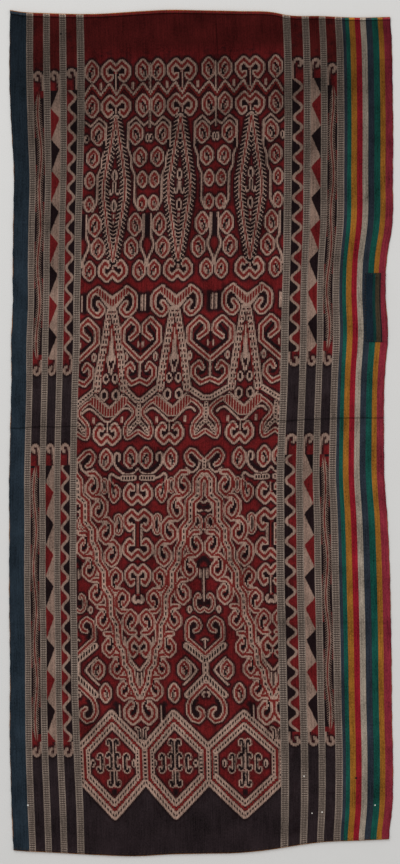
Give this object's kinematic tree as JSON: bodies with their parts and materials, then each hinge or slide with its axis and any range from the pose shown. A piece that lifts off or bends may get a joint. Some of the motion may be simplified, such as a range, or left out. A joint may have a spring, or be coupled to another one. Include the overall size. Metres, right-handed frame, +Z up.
{
  "type": "ikat woven skirt cloth",
  "caption": "Long warp ikat skirt cloth laid flat, with striped selvedges, hemmed ends and a small repair patch.",
  "frame": {"origin": "middle of the flat underside, at the centre of the laid cloth", "axes": "+X across the cloth towards the patched selvedge, +Y along the warp towards the end whose hem shows, +Z up through the face"},
  "size_m": [0.4993, 1.0999, 0.0029],
  "materials": {
    "ikat_cotton": "warp-faced cotton, dark red with cream and black ikat figures and coloured stripes, worn and matt",
    "patch_cotton": "striped warp-faced cotton, navy, teal, olive and pink, matt",
    "sewing_thread": "two-ply cotton sewing thread, matt"
  },
  "bodies": {
    "root": {"cloth": "ikat_cotton", "patch": "patch_cotton"}
  },
  "joints": []
}
